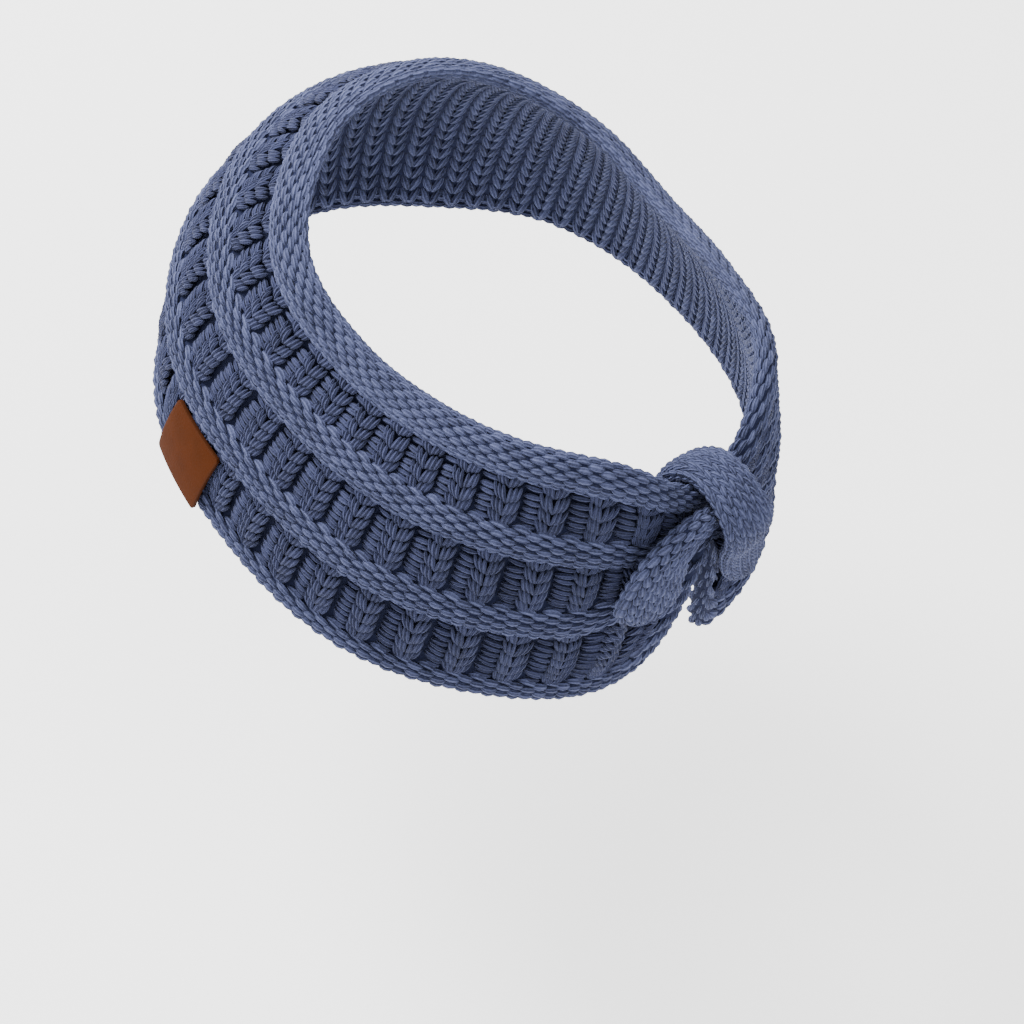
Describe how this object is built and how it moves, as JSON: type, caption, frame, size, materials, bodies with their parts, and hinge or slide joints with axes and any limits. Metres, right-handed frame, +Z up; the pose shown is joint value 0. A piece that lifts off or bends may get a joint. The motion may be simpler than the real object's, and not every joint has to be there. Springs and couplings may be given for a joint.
{
  "type": "knitted ear warmer headband with a strapped knot",
  "caption": "Wide knitted ear warmer ring with raised welts and ribbed panels, gathered at the back into a strapped knot, with a small bare label patch.",
  "frame": {"origin": "middle of the ring, where the head sits, halfway up the band at its sides", "axes": "+Z up the middle of the ring, the wearer's front is -Y and the wearer's left is +X"},
  "size_m": [0.193, 0.2147, 0.117],
  "materials": {
    "band_knit": "chunky matte acrylic knit",
    "strap_knit": "chunky matte acrylic knit, folded double",
    "label_leather": "smooth brown imitation leather"
  },
  "bodies": {
    "root": {"knit_band": "band_knit", "knot_left_strap": "strap_knit", "knot_over_strap": "strap_knit", "label_patch": "label_leather"}
  },
  "joints": []
}
